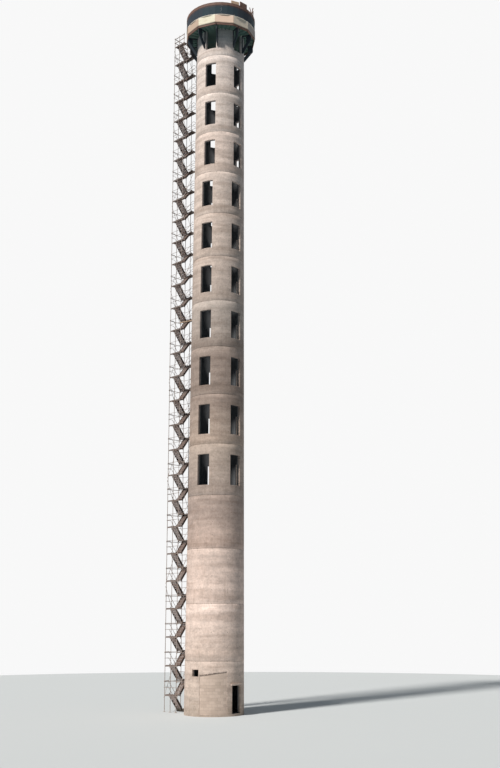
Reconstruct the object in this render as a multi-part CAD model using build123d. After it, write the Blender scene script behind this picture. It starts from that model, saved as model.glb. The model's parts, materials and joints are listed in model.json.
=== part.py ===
from build123d import *
import os
from math import cos, degrees, radians, sin, sqrt, tan

# Communication tower under construction, modelled at half size in millimetres.
# The origin is the middle of the footing's flat underside and +Z is up.
# Azimuth runs from -Y towards +X, so 0 degrees faces the front.

FULL_TURN = 360.0

# Shaft
SHAFT_RADIUS = 1124.0
WALL_THICKNESS = 140.0
LIFT_HEIGHT = 2000.0
FOOT_TOP = 1850.0
WINDOW_ROWS = 11
WINDOW_COLUMNS = 5
FRONT_COLUMNS = 2
WINDOW_HEIGHT = 1200.0
TOP_WINDOW_HEIGHT = 1038.0
WINDOW_HALF_ANGLE = 13.45
FIRST_WINDOW_AZIMUTH = -26.7
LOWEST_SILL = 8250.0
BACK_WINDOW_DROP = 190.0
FLATS_PER_SPANDREL = 4
LIFTS_BELOW_TURN = 10
UPPER_TURN = 4.4

# Foot of the shaft
FOOTING_THICKNESS = 80.0
DOOR_START = 38.5
DOOR_END = 63.0
DOOR_HEAD = 1030.0
CANOPY_THICKNESS = 55.0
CANOPY_REACH = 62.0
CANOPY_OVERLAP_ANGLE = 3.5
INFILL_START = -26.5
INFILL_END = 26.6
INFILL_TOP_LEFT = 1355.0
INFILL_TOP_RIGHT = 1490.0
INFILL_RECESS = 12.0
INFILL_THICKNESS = 95.0
INFILL_JOINT = 4.0
VENT_START = -45.6
VENT_END = -30.0
VENT_SILL = 1330.0
VENT_HEAD = 1565.0
VENT_BAY_START = -62.0
BACK_SPLIT_RIGHT = 132.0
BACK_SPLIT_LEFT = -145.0

# Head of the tower
BAND_HEIGHT = 437.0
HEAD_SIDES = 12
HEAD_VERTEX_RADIUS = 1672.0
HEAD_FIRST_VERTEX = -7.6
EDGE_PANEL_THICKNESS = 30.0
PANEL_JOINT = 3.0
DECK_TOP_DROP = 20.0
SOLE_THICKNESS = 20.0
SOLE_OVERHANG = 6.0
SOLE_INSET = 20.0
FORM_PANELS = 36
DRUM_OVERHANG = 33.0
DRUM_THICKNESS = 30.0
DRUM_HEIGHT = 633.0
RIM_THICKNESS = 30.0
RIM_WIDTH = 52.0
RIM_OVERHANG = 9.0

# Brackets under the deck
BRACKET_OFFSET = 19.5
BRACKET_WIDTH = 32.0
BRACKET_DROP = 950.0
BRACKET_TOE = 66.0
BRACKET_REACH_GAP = 8.0
BRACKET_NOSE_DROP = 325.0
BRACKET_LEG = 40.0
BRACKET_CHORD = 62.0
BRACKET_HOLE_WIDTH = 190.0
BRACKET_STRUT = 165.0

# Stair tower beside the shaft
STAIR_OUT = 1948.0
STAIR_BACK = 1150.0
STAIR_TURN = 45.0
STAIR_LEAN = 0.67
STAIR_LENGTH = 825.0
STAIR_WIDTH = 675.0
LANDING_DEPTH = 200.0
LANDING_THICKNESS = 34.0
STANDARD_SIZE = 24.0
LEDGER_SIZE = 24.0
TURNS = 29
FIRST_RIGHT_LANDING = 90.0
TOP_LANDING_STEP = 5.0
RISERS_PER_FLIGHT = 5
STRINGER_THICKNESS = 12.0
STRINGER_DEPTH = 136.0
TREAD_THICKNESS = 16.0
TREAD_GAP = 3.0
LANE_MARGIN = 2.0
LANE_GAP = 14.0
GUARD_HEIGHT = 500.0
BASE_PLATE_SIZE = 76.0
BASE_PLATE_THICKNESS = 10.0
TIE_SIZE = 24.0
TIES = 7
TURNS_BELOW_TIES = 2
TURNS_BETWEEN_TIES = 4
SEAT_GAP = 0.3

# Loose formwork on the rim
OFFCUT_LENGTH = 400.0
OFFCUT_HEIGHT = 150.0
OFFCUT_THICKNESS = 40.0
OFFCUT_AZIMUTH = 26.0
BOARD_LENGTH = 420.0
BOARD_HEIGHT = 235.0
BOARD_AZIMUTH = 42.5
POST_SIZE = 22.0
POST_HEIGHT = 380.0
POST_SPREAD = 70.0
POST_AZIMUTH = 73.0

INNER_RADIUS = SHAFT_RADIUS - WALL_THICKNESS
COLUMN_STEP = FULL_TURN / WINDOW_COLUMNS
TURN_JOINT = FOOT_TOP + LIFTS_BELOW_TURN * LIFT_HEIGHT
DECK_SOFFIT = LOWEST_SILL + (WINDOW_ROWS - 1) * LIFT_HEIGHT + TOP_WINDOW_HEIGHT
BAND_TOP = DECK_SOFFIT + BAND_HEIGHT
HEAD_STEP = FULL_TURN / HEAD_SIDES
HEAD_APOTHEM = HEAD_VERTEX_RADIUS * cos(radians(HEAD_STEP / 2))
DRUM_RADIUS = HEAD_APOTHEM + DRUM_OVERHANG
DRUM_BOTTOM = BAND_TOP + SOLE_THICKNESS
DRUM_TOP = DRUM_BOTTOM + DRUM_HEIGHT
TURN_RISE = (BAND_TOP + TOP_LANDING_STEP - FIRST_RIGHT_LANDING) / (TURNS - 0.5)
HALF_RISE = TURN_RISE / 2


def save(name, shape):
    """Write one named piece of the tower as a STEP file.

    Args:
        name: the node's name.
        shape: one solid, or a list of solids that don't touch.

    Returns:
        None.
    """
    solids = shape if isinstance(shape, list) else [shape]
    flat = [solid for item in solids for solid in item.solids()]
    piece = flat[0] if len(flat) == 1 else Compound(children=flat)
    export_step(piece, "parts/" + name + ".step")


def on_circle(azimuth, radius, height=0.0):
    """Return the point at an azimuth, radius and height.

    Args:
        azimuth: degrees from -Y towards +X.
        radius: distance from the tower's axis.
        height: height over the footing's underside.

    Returns:
        A Vector.
    """
    angle = radians(azimuth)
    return Vector(radius * sin(angle), -radius * cos(angle), height)


def arc_wall(inner, outer, start, end, bottom, top):
    """Return a curved wall with radial ends.

    Args:
        inner: inner radius.
        outer: outer radius.
        start: azimuth of the first end in degrees.
        end: azimuth of the second end in degrees.
        bottom: height of the underside.
        top: height of the top.

    Returns:
        A solid.
    """
    span = end - start
    outside = CenterArc((0, 0), outer, start - 90, span)
    inside = CenterArc((0, 0), inner, start - 90, span)
    ends = [Line(inside @ 0, outside @ 0), Line(inside @ 1, outside @ 1)]
    face = make_face([outside, inside] + ends)
    return extrude(Pos(0, 0, bottom) * face, amount=top - bottom)


def block(low, high):
    """Return a box between two opposite corners.

    Args:
        low: the lowest corner as x, y and z.
        high: the highest corner as x, y and z.

    Returns:
        A solid.
    """
    size = [b - a for a, b in zip(low, high)]
    middle = [(a + b) / 2 for a, b in zip(low, high)]
    return Pos(*middle) * Box(*size)


def beam(first, last, size):
    """Return a square bar between two points.

    Args:
        first: the start point as a Vector.
        last: the end point as a Vector.
        size: width of the square section.

    Returns:
        A solid.
    """
    run = last - first
    section = Plane(origin=first, z_dir=run) * Rectangle(size, size)
    return extrude(section, amount=run.length, dir=run.normalized())


def footing():
    """Return the ground floor slab that the shaft stands on.

    Returns:
        A solid whose underside is the mounting face.
    """
    disc = Cylinder(SHAFT_RADIUS, FOOTING_THICKNESS)
    return Pos(0, 0, FOOTING_THICKNESS / 2) * disc


def foot_wall(start, end, bottom=FOOTING_THICKNESS, top=FOOT_TOP):
    """Return one length of the wall in the lowest lift.

    Args:
        start: azimuth of the first end.
        end: azimuth of the second end.
        bottom: height of the underside.
        top: height of the top.

    Returns:
        A solid.
    """
    return arc_wall(INNER_RADIUS, SHAFT_RADIUS, start, end, bottom, top)


def sloping_cut(radial_margin):
    """Return the body below the slanting top of the closed access opening.

    The cutting line falls from the right end of the opening to its left end.

    Args:
        radial_margin: how far the body runs past the wall's faces.

    Returns:
        A solid.
    """
    half = SHAFT_RADIUS * 1.2
    left = SHAFT_RADIUS * sin(radians(INFILL_START))
    right = SHAFT_RADIUS * sin(radians(INFILL_END))
    slope = (INFILL_TOP_RIGHT - INFILL_TOP_LEFT) / (right - left)
    z_left = INFILL_TOP_LEFT + slope * (-half - left)
    z_right = INFILL_TOP_LEFT + slope * (half - left)
    outline = Polyline((-half, 0), (half, 0), (half, z_right), (-half, z_left), close=True)
    face = Plane.XZ * make_face(outline)
    return extrude(face, amount=SHAFT_RADIUS + radial_margin)


def access_pieces():
    """Return the closed access opening and the wall over it.

    Returns:
        The infill solid and the wall over it.
    """
    below = sloping_cut(100.0)
    bay = foot_wall(INFILL_START, INFILL_END)
    over = bay - below
    outer = SHAFT_RADIUS - INFILL_RECESS
    inner = outer - INFILL_THICKNESS
    joint = degrees(INFILL_JOINT / SHAFT_RADIUS)
    start = INFILL_START + joint
    end = INFILL_END - joint
    panel = arc_wall(inner, outer, start, end, FOOTING_THICKNESS, FOOT_TOP)
    panel = panel & (Pos(0, 0, -INFILL_JOINT) * below)
    return panel, over


def vent_bay():
    """Return the foot wall with the small vent cut through it.

    Returns:
        A solid.
    """
    wall = foot_wall(VENT_BAY_START, INFILL_START)
    hole = arc_wall(INNER_RADIUS - 20, SHAFT_RADIUS + 20, VENT_START, VENT_END, VENT_SILL, VENT_HEAD)
    return wall - hole


def window_azimuth(column):
    """Return the azimuth of a window column's middle.

    Args:
        column: number of the column from 0.

    Returns:
        Degrees.
    """
    return FIRST_WINDOW_AZIMUTH + column * COLUMN_STEP


def flat_wall(start, end, bottom, top):
    """Return a wall as the curved one, but cast against narrow flat forms.

    Args:
        start: azimuth of the first end.
        end: azimuth of the second end.
        bottom: height of the underside.
        top: height of the top.

    Returns:
        A solid with its corners on the shaft's two circles.
    """
    step = (end - start) / FLATS_PER_SPANDREL
    turns = [start + number * step for number in range(FLATS_PER_SPANDREL + 1)]
    outside = [on_circle(turn, SHAFT_RADIUS) for turn in turns]
    inside = [on_circle(turn, INNER_RADIUS) for turn in reversed(turns)]
    corners = [(point.X, point.Y) for point in outside + inside]
    face = Pos(0, 0, bottom) * make_face(Polyline(*corners, close=True))
    return extrude(face, amount=top - bottom)


def turned_wall(make, start, end, bottom, top):
    """Return a wall whose part above the turning joint is turned with its forms.

    Args:
        make: the function that makes a wall from two azimuths and two heights.
        start: azimuth of the first end below the joint.
        end: azimuth of the second end below the joint.
        bottom: height of the underside.
        top: height of the top.

    Returns:
        A solid.
    """
    if top <= TURN_JOINT:
        return make(start, end, bottom, top)
    if bottom >= TURN_JOINT:
        return make(start + UPPER_TURN, end + UPPER_TURN, bottom, top)
    below = make(start, end, bottom, TURN_JOINT)
    above = make(start + UPPER_TURN, end + UPPER_TURN, TURN_JOINT, top)
    return below + above


def pier(column):
    """Return the wall between one window column and the next.

    Args:
        column: number of the column before the pier.

    Returns:
        A solid from the foot to the deck.
    """
    start = window_azimuth(column) + WINDOW_HALF_ANGLE
    end = window_azimuth(column + 1) - WINDOW_HALF_ANGLE
    return turned_wall(foot_wall, start, end, FOOT_TOP, DECK_SOFFIT)


def window_sill(column, row):
    """Return the height of a window's sill.

    Args:
        column: number of the column.
        row: number of the row from 0.

    Returns:
        The height, lower in the columns at the back.
    """
    drop = 0.0 if column < FRONT_COLUMNS else BACK_WINDOW_DROP
    return LOWEST_SILL + row * LIFT_HEIGHT - drop


def spandrels(column):
    """Return the walls under and between the windows of one column.

    Args:
        column: number of the column.

    Returns:
        A list of solids that don't touch.
    """
    start = window_azimuth(column) - WINDOW_HALF_ANGLE
    end = window_azimuth(column) + WINDOW_HALF_ANGLE
    walls = [foot_wall(start, end, FOOT_TOP, window_sill(column, 0))]
    for row in range(1, WINDOW_ROWS):
        head_below = window_sill(column, row - 1) + WINDOW_HEIGHT
        walls.append(turned_wall(flat_wall, start, end, head_below, window_sill(column, row)))
    return walls


def polygon_points(radius):
    """Return the corners of the twelve-sided deck at a vertex radius.

    Args:
        radius: distance of each corner from the axis.

    Returns:
        A list of x and y pairs.
    """
    corners = []
    for side in range(HEAD_SIDES):
        point = on_circle(HEAD_FIRST_VERTEX + side * HEAD_STEP, radius)
        corners.append((point.X, point.Y))
    return corners


def deck():
    """Return the twelve-sided deck at the head of the shaft.

    Returns:
        A solid.
    """
    shrink = EDGE_PANEL_THICKNESS / cos(radians(HEAD_STEP / 2))
    outline = Polyline(*polygon_points(HEAD_VERTEX_RADIUS - shrink), close=True)
    face = Pos(0, 0, DECK_SOFFIT) * make_face(outline)
    return extrude(face, amount=BAND_HEIGHT - DECK_TOP_DROP)


def ring_panels(count, radius, thickness, bottom, top):
    """Return a ring of flat panels with open mitred joints.

    Args:
        count: how many panels go round.
        radius: distance of the ring's outer corners from the axis.
        thickness: radial thickness of the panels.
        bottom: height of the underside.
        top: height of the top.

    Returns:
        A list of solids that don't touch.
    """
    step = FULL_TURN / count
    half = radians(step / 2)
    outer = radius * cos(half)
    inner = outer - thickness
    half_outer = radius * sin(half) - PANEL_JOINT / 2
    half_inner = half_outer - thickness * tan(half)
    outline = Polyline(
        (-half_inner, -inner),
        (half_inner, -inner),
        (half_outer, -outer),
        (-half_outer, -outer),
        close=True,
    )
    panel = extrude(Pos(0, 0, bottom) * make_face(outline), amount=top - bottom)
    turns = [HEAD_FIRST_VERTEX + (number + 0.5) * step for number in range(count)]
    return [Rot(0, 0, turn) * panel for turn in turns]


def bracket():
    """Return one raking bracket, standing in the plane of azimuth 0.

    Its outline is a leg against the shaft, a chord under the deck and a
    broad strut, with an open gap between the leg and the strut.

    Returns:
        A solid.
    """
    reach = HEAD_APOTHEM - BRACKET_REACH_GAP
    toe = SHAFT_RADIUS + BRACKET_TOE
    low = DECK_SOFFIT - BRACKET_DROP
    nose = DECK_SOFFIT - BRACKET_NOSE_DROP
    rise = (nose - low) / (reach - toe)
    outline = Polyline(
        (SHAFT_RADIUS, low),
        (toe, low),
        (reach, nose),
        (reach, DECK_SOFFIT),
        (SHAFT_RADIUS, DECK_SOFFIT),
        close=True,
    )
    left = SHAFT_RADIUS + BRACKET_LEG
    right = left + BRACKET_HOLE_WIDTH
    shift = BRACKET_STRUT * sqrt(1 + 1 / rise**2)
    low_left = low + (left - toe + shift) * rise
    low_right = low + (right - toe + shift) * rise
    top = DECK_SOFFIT - BRACKET_CHORD
    hole = Polyline((left, low_left), (right, low_right), (right, top), (left, top), close=True)
    face = make_face(outline) - make_face(hole)
    plate = extrude(Plane.XZ * face, amount=BRACKET_WIDTH / 2, both=True)
    # The leg's back is hollowed to the shaft's curve, so that it seats on the wall.
    shaft = Pos(0, 0, (low + DECK_SOFFIT) / 2) * Cylinder(SHAFT_RADIUS, LIFT_HEIGHT)
    return Rot(0, 0, -90) * (plate - shaft)


def brackets():
    """Return the brackets, two on every pier.

    Returns:
        A list of solids that don't touch.
    """
    one = bracket()
    placed = []
    for column in range(WINDOW_COLUMNS):
        middle = window_azimuth(column) + COLUMN_STEP / 2 + UPPER_TURN
        placed.append(Rot(0, 0, middle - BRACKET_OFFSET) * one)
        placed.append(Rot(0, 0, middle + BRACKET_OFFSET) * one)
    return placed


def rim_pieces():
    """Return the loose formwork left on the rim.

    Returns:
        The tan offcut, the brown board and the two leaning posts.
    """
    top = DRUM_TOP + RIM_THICKNESS
    middle = DRUM_RADIUS + RIM_OVERHANG - RIM_WIDTH / 2
    offcut = block(
        (-OFFCUT_LENGTH / 2, -middle - OFFCUT_THICKNESS / 2, top),
        (OFFCUT_LENGTH / 2, -middle + OFFCUT_THICKNESS / 2, top + OFFCUT_HEIGHT),
    )
    board = block(
        (-BOARD_LENGTH / 2, -middle - OFFCUT_THICKNESS / 2, top),
        (BOARD_LENGTH / 2, -middle + OFFCUT_THICKNESS / 2, top + BOARD_HEIGHT),
    )
    foot_left = Vector(-POST_SIZE, -middle, top)
    foot_right = Vector(POST_SIZE, -middle, top)
    head_left = Vector(-POST_SIZE - POST_SPREAD, -middle, top + POST_HEIGHT)
    head_right = Vector(POST_SIZE + POST_SPREAD / 2, -middle, top + POST_HEIGHT * 0.9)
    posts = []
    for foot, head in ((foot_left, head_left), (foot_right, head_right)):
        down = (foot - head).normalized() * POST_SIZE
        bar = beam(foot + down, head, POST_SIZE)
        reach = POST_HEIGHT + POST_SPREAD
        keep = block((-reach, -middle - POST_SIZE, top), (reach, -middle + POST_SIZE, top + reach))
        posts.append(Rot(0, 0, POST_AZIMUTH) * (bar & keep))
    return Rot(0, 0, OFFCUT_AZIMUTH) * offcut, Rot(0, 0, BOARD_AZIMUTH) * board, posts


# The stair is laid out upright, with x along its flights and y across its two
# lanes, and is then turned and leant as one.
STAIR_PLACE = Location((-STAIR_OUT, STAIR_BACK, 0)) * Rot(0, -STAIR_LEAN, 0) * Rot(0, 0, STAIR_TURN)
HALF_STANDARD = STANDARD_SIZE / 2
LEFT_INNER = HALF_STANDARD + LANDING_DEPTH
RIGHT_INNER = STAIR_LENGTH - HALF_STANDARD - LANDING_DEPTH
STAIR_TOP = FIRST_RIGHT_LANDING + HALF_RISE + (TURNS - 1) * TURN_RISE + GUARD_HEIGHT


def placed(solids):
    """Return stair pieces moved to their place on the tower.

    Args:
        solids: a list of solids in the stair's own layout.

    Returns:
        A list of solids.
    """
    return [STAIR_PLACE * solid for solid in solids]


def right_level(turn):
    """Return the height of a landing at the shaft's end of the stair.

    Args:
        turn: number of the turn from 0.

    Returns:
        The height of the landing's top.
    """
    return FIRST_RIGHT_LANDING + turn * TURN_RISE


def left_level(turn):
    """Return the height of a landing at the outer end of the stair.

    Args:
        turn: number of the turn from 0.

    Returns:
        The height of the landing's top.
    """
    return right_level(turn) + HALF_RISE


def standard_feet():
    """Return the plan positions of the six standards.

    Returns:
        A list of x and y pairs in the stair's layout.
    """
    rows = (0.0, -STAIR_WIDTH / 2, -STAIR_WIDTH)
    return [(x, y) for x in (0.0, STAIR_LENGTH) for y in rows]


def ground_clearance(x, y):
    """Return how far the lean lifts a standard's foot off the ground.

    Args:
        x: position along the stair.
        y: position across the stair.

    Returns:
        The height of the foot's lowest corner when its own z is zero.
    """
    turn = radians(STAIR_TURN)
    reach = x * cos(turn) - y * sin(turn)
    return (reach - HALF_STANDARD * (cos(turn) + sin(turn))) * sin(radians(STAIR_LEAN))


def standards():
    """Return the six upright tubes of the stair tower.

    Returns:
        A list of solids.
    """
    tubes = []
    for x, y in standard_feet():
        foot = BASE_PLATE_THICKNESS + SEAT_GAP
        low = (x - HALF_STANDARD, y - HALF_STANDARD, foot)
        high = (x + HALF_STANDARD, y + HALF_STANDARD, STAIR_TOP)
        tubes.append(block(low, high))
    return placed(tubes)


def base_plates():
    """Return the packed plates under the standards.

    Each plate is as thick as the lean needs for its standard to stand on it.

    Returns:
        A list of solids.
    """
    plates = []
    for x, y in standard_feet():
        spot = STAIR_PLACE * Pos(x, y, 0)
        height = BASE_PLATE_THICKNESS + ground_clearance(x, y)
        half = BASE_PLATE_SIZE / 2
        plate = block((-half, -half, 0), (half, half, height))
        plates.append(Pos(spot.position.X, spot.position.Y, 0) * Rot(0, 0, STAIR_TURN) * plate)
    return plates


def landing(low_x, high_x, level):
    """Return one landing between the standards.

    Args:
        low_x: the landing's first edge along the stair.
        high_x: the landing's second edge along the stair.
        level: height of the landing's top.

    Returns:
        A solid.
    """
    near = -STAIR_WIDTH + HALF_STANDARD + LANE_MARGIN
    far = -HALF_STANDARD - LANE_MARGIN
    return block((low_x, near, level - LANDING_THICKNESS), (high_x, far, level))


def transom(level, outer, inward):
    """Return the cross bar under a landing's outer edge, beside the standards.

    Args:
        level: height of the landing's top.
        outer: the landing's outer edge along the stair.
        inward: 1 or -1, the way from that edge towards the flights.

    Returns:
        A solid.
    """
    top = level - LANDING_THICKNESS
    low_y = -STAIR_WIDTH - HALF_STANDARD - LEDGER_SIZE
    high_y = HALF_STANDARD + LEDGER_SIZE
    edges = (outer, outer + inward * LEDGER_SIZE)
    return block((min(edges), low_y, top - LEDGER_SIZE), (max(edges), high_y, top))


def ledger(level, outside):
    """Return one long bar outside the standards, under an inner landing's cross bar.

    Args:
        level: height of the landing's top.
        outside: the standards' outer face across the stair.

    Returns:
        A solid.
    """
    top = level - LANDING_THICKNESS - LEDGER_SIZE
    other = outside + (LEDGER_SIZE if outside > 0 else -LEDGER_SIZE)
    low = (-HALF_STANDARD, min(outside, other), top - LEDGER_SIZE)
    high = (STAIR_LENGTH + HALF_STANDARD, max(outside, other), top)
    return block(low, high)


def lane(number):
    """Return the edges of a lane across the stair.

    Args:
        number: 0 for the lane away from the shaft, 1 for the lane by it.

    Returns:
        The lane's lower and higher y.
    """
    middle = -STAIR_WIDTH / 2
    if number == 0:
        return middle + LANE_GAP / 2, -HALF_STANDARD - LANE_MARGIN
    return -STAIR_WIDTH + HALF_STANDARD + LANE_MARGIN, middle - LANE_GAP / 2


def flight(number, bottom):
    """Return the treads and stringers of one flight.

    Lane 0 climbs from the right landing to the left one, lane 1 climbs back.
    The stringers follow the line through both landings' edges.

    Args:
        number: the flight's lane.
        bottom: height of the landing that it starts from.

    Returns:
        A list of treads and a list of stringers.
    """
    run = RIGHT_INNER - LEFT_INNER
    start = RIGHT_INNER if number == 0 else LEFT_INNER
    way = -1 if number == 0 else 1
    low_y, high_y = lane(number)
    going = run / (RISERS_PER_FLIGHT - 1)
    riser = HALF_RISE / RISERS_PER_FLIGHT
    treads = []
    for step in range(1, RISERS_PER_FLIGHT):
        near = start + way * ((step - 1) * going + TREAD_GAP)
        far = start + way * (step * going - TREAD_GAP)
        top = bottom + step * riser
        low = (min(near, far), low_y + STRINGER_THICKNESS, top - TREAD_THICKNESS)
        high = (max(near, far), high_y - STRINGER_THICKNESS, top)
        treads.append(block(low, high))
    end = start + way * run
    half = STRINGER_DEPTH / 2
    outline = Polyline(
        (start, bottom - half),
        (end, bottom + HALF_RISE - half),
        (end, bottom + HALF_RISE + half * 0.8),
        (start, bottom + half * 0.8),
        close=True,
    )
    face = Plane.XZ * make_face(outline)
    stringers = []
    for edge in (low_y + STRINGER_THICKNESS, high_y):
        stringers.append(Pos(0, edge, 0) * extrude(face, amount=STRINGER_THICKNESS))
    return treads, stringers


def ties():
    """Return the bars that hold the stair tower to the shaft.

    Each bar starts at the face of a standard beside the shaft and ends on
    the shaft's surface, level and square to the stair's long side.

    Returns:
        A list of solids.
    """
    turn = radians(STAIR_TURN)
    across = Vector(sin(turn), -cos(turn), 0)
    along = Vector(cos(turn), sin(turn), 0)
    bars = []
    for number in range(TIES):
        level = left_level(TURNS_BELOW_TIES + number * TURNS_BETWEEN_TIES) + HALF_RISE / 2
        spot = (STAIR_PLACE * Pos(STAIR_LENGTH, -STAIR_WIDTH - HALF_STANDARD, level)).position
        reach = abs(spot.dot(along)) - TIE_SIZE / 2
        surface = sqrt(SHAFT_RADIUS**2 - reach**2)
        first = spot + across * (SEAT_GAP + HALF_STANDARD * sin(radians(STAIR_LEAN)))
        distance = -(spot.dot(across)) - surface - SEAT_GAP
        last = spot + across * distance
        bars.append(beam(first, last, TIE_SIZE))
    return bars


def top_guard():
    """Return the guard rails around the outer end of the top landing.

    Returns:
        A list of solids.
    """
    level = left_level(TURNS - 1)
    rails = []
    for part in (0.5, 0.94):
        height = level + GUARD_HEIGHT * part
        low = (HALF_STANDARD, -STAIR_WIDTH - HALF_STANDARD, height - LEDGER_SIZE)
        high = (HALF_STANDARD + LEDGER_SIZE, HALF_STANDARD, height)
        rails.append(block(low, high))
        low = (-HALF_STANDARD, HALF_STANDARD, height - LEDGER_SIZE)
        high = (STAIR_LENGTH + HALF_STANDARD, HALF_STANDARD + LEDGER_SIZE, height)
        rails.append(block(low, high))
    return placed(rails)


def bottom_step():
    """Return the block on the ground that the first flight starts from.

    Returns:
        A solid.
    """
    near = -STAIR_WIDTH + HALF_STANDARD + LANE_MARGIN
    far = -HALF_STANDARD - LANE_MARGIN
    low = (RIGHT_INNER, near, 0)
    high = (STAIR_LENGTH - BASE_PLATE_SIZE / 2 - 2, far, FIRST_RIGHT_LANDING)
    upright = Location((-STAIR_OUT, STAIR_BACK, 0)) * Rot(0, 0, STAIR_TURN)
    return upright * block(low, high)


def build_stair():
    """Write every piece of the stair tower.

    Returns:
        None.
    """
    groups = 3
    treads = [[] for _ in range(groups)]
    stringers = [[] for _ in range(groups)]
    left = []
    right = []
    cross = []
    long_far = []
    long_near = []
    for turn in range(TURNS):
        group = turn * groups // TURNS
        left.append(landing(HALF_STANDARD, LEFT_INNER, left_level(turn)))
        cross.append(transom(left_level(turn), HALF_STANDARD, 1))
        if turn > 0:
            level = right_level(turn)
            outer = STAIR_LENGTH - HALF_STANDARD
            right.append(landing(RIGHT_INNER, outer, level))
            cross.append(transom(level, outer, -1))
            long_far.append(ledger(level, HALF_STANDARD))
            long_near.append(ledger(level, -STAIR_WIDTH - HALF_STANDARD))
        flights = [(0, right_level(turn))]
        if turn < TURNS - 1:
            flights.append((1, left_level(turn)))
        for number, bottom in flights:
            steps, sides = flight(number, bottom)
            treads[group].extend(steps)
            stringers[group].extend(sides)
    for group, name in enumerate(("lower", "middle", "upper")):
        save("stair_treads_" + name, placed(treads[group]))
        save("stair_stringers_" + name, placed(stringers[group]))
    save("stair_landings_outer", placed(left))
    save("stair_landings_inner", placed(right))
    save("stair_transoms", placed(cross))
    save("stair_ledgers_far", placed(long_far))
    save("stair_ledgers_near", placed(long_near))
    save("stair_standards", standards())
    save("stair_base_plates", base_plates())
    save("stair_bottom_step", bottom_step())
    save("stair_top_guard", top_guard())
    save("stair_ties", ties())


def build_foot():
    """Write the footing and the walls of the lowest lift.

    Returns:
        None.
    """
    infill, over = access_pieces()
    canopy_start = DOOR_START - CANOPY_OVERLAP_ANGLE
    canopy_end = DOOR_END + CANOPY_OVERLAP_ANGLE
    canopy_top = DOOR_HEAD + CANOPY_THICKNESS
    canopy = arc_wall(
        SHAFT_RADIUS, SHAFT_RADIUS + CANOPY_REACH, canopy_start, canopy_end, DOOR_HEAD, canopy_top
    )
    save("footing_slab", footing())
    save("foot_wall_vent", vent_bay())
    save("access_infill", infill)
    save("foot_wall_over_access", over)
    save("foot_wall_by_door", foot_wall(INFILL_END, DOOR_START))
    save("door_lintel", foot_wall(DOOR_START, DOOR_END, bottom=DOOR_HEAD))
    save("door_canopy", canopy)
    save("foot_wall_right", foot_wall(DOOR_END, BACK_SPLIT_RIGHT))
    save("foot_wall_back", foot_wall(BACK_SPLIT_RIGHT, BACK_SPLIT_LEFT + FULL_TURN))
    save("foot_wall_left", foot_wall(BACK_SPLIT_LEFT, VENT_BAY_START))


def build_head():
    """Write the deck, its edge forms, the drum, the brackets and the loose pieces.

    Returns:
        None.
    """
    offcut, board, posts = rim_pieces()
    save("deck_slab", deck())
    save(
        "edge_panels",
        ring_panels(HEAD_SIDES, HEAD_VERTEX_RADIUS, EDGE_PANEL_THICKNESS, DECK_SOFFIT, BAND_TOP),
    )
    sole_width = SOLE_OVERHANG + DRUM_OVERHANG + EDGE_PANEL_THICKNESS + SOLE_INSET
    sole_radius = DRUM_RADIUS + SOLE_OVERHANG
    save("drum_sole", ring_panels(FORM_PANELS, sole_radius, sole_width, BAND_TOP, DRUM_BOTTOM))
    save(
        "drum_panels",
        ring_panels(FORM_PANELS, DRUM_RADIUS, DRUM_THICKNESS, DRUM_BOTTOM, DRUM_TOP),
    )
    rim_radius = DRUM_RADIUS + RIM_OVERHANG
    rim_top = DRUM_TOP + RIM_THICKNESS
    save("drum_rim", ring_panels(FORM_PANELS, rim_radius, RIM_WIDTH, DRUM_TOP, rim_top))
    save("deck_brackets", brackets())
    save("rim_offcut", offcut)
    save("rim_board", board)
    save("rim_posts", posts)


def main():
    """Build every piece and write it to the parts folder.

    Returns:
        None.
    """
    os.makedirs("parts", exist_ok=True)
    build_foot()
    for column in range(WINDOW_COLUMNS):
        save("shaft_pier_" + str(column + 1), pier(column))
        save("shaft_spandrels_" + str(column + 1), spandrels(column))
    build_head()
    build_stair()


main()
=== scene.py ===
"""Dress the half-size communication tower for its portrait and its visual model."""
from dataclasses import dataclass
from enum import Enum
import json
import logging
import math
from typing import Any, Callable, Sequence

import bpy
from mathutils import Matrix
import numpy as np


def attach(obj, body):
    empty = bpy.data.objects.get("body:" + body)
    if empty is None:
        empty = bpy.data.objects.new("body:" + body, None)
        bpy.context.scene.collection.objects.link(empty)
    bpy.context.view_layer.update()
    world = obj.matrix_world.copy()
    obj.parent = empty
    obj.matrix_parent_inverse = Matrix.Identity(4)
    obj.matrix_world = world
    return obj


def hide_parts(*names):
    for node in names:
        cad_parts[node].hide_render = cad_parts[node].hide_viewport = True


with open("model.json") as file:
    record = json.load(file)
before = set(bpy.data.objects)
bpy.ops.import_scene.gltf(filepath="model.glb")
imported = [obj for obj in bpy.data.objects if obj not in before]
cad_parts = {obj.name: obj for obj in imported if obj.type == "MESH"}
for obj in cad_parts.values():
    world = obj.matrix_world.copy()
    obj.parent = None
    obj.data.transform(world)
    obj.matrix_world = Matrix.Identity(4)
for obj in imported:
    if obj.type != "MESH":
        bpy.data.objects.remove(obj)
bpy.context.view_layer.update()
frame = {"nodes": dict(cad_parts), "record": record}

LOG = logging.getLogger("tower")
SHAFT_RADIUS = 1.124
WALL = 0.140
LIFT = 2.0
FIRST_JOINT = 1.850
SOFFIT = 29.288
FIRST_VERTEX = -7.6
STAIR_FOOT = (-1.948, 1.150)
STAIR_LEAN = 0.67
STAIR_LENGTH = 0.825
STAIR_WIDTH = 0.675
UP = (0.0, 0.0, 1.0)

Pair = tuple[float, float]
Point = tuple[float, float, float]
Colour = tuple[float, float, float]
Stops = Sequence[tuple[float, Colour]]
Mesh = tuple[np.ndarray, np.ndarray]


class Quality(Enum):
    """How a mesh is shaded."""

    FLAT = "flat"
    CREASED = "creased"


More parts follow.
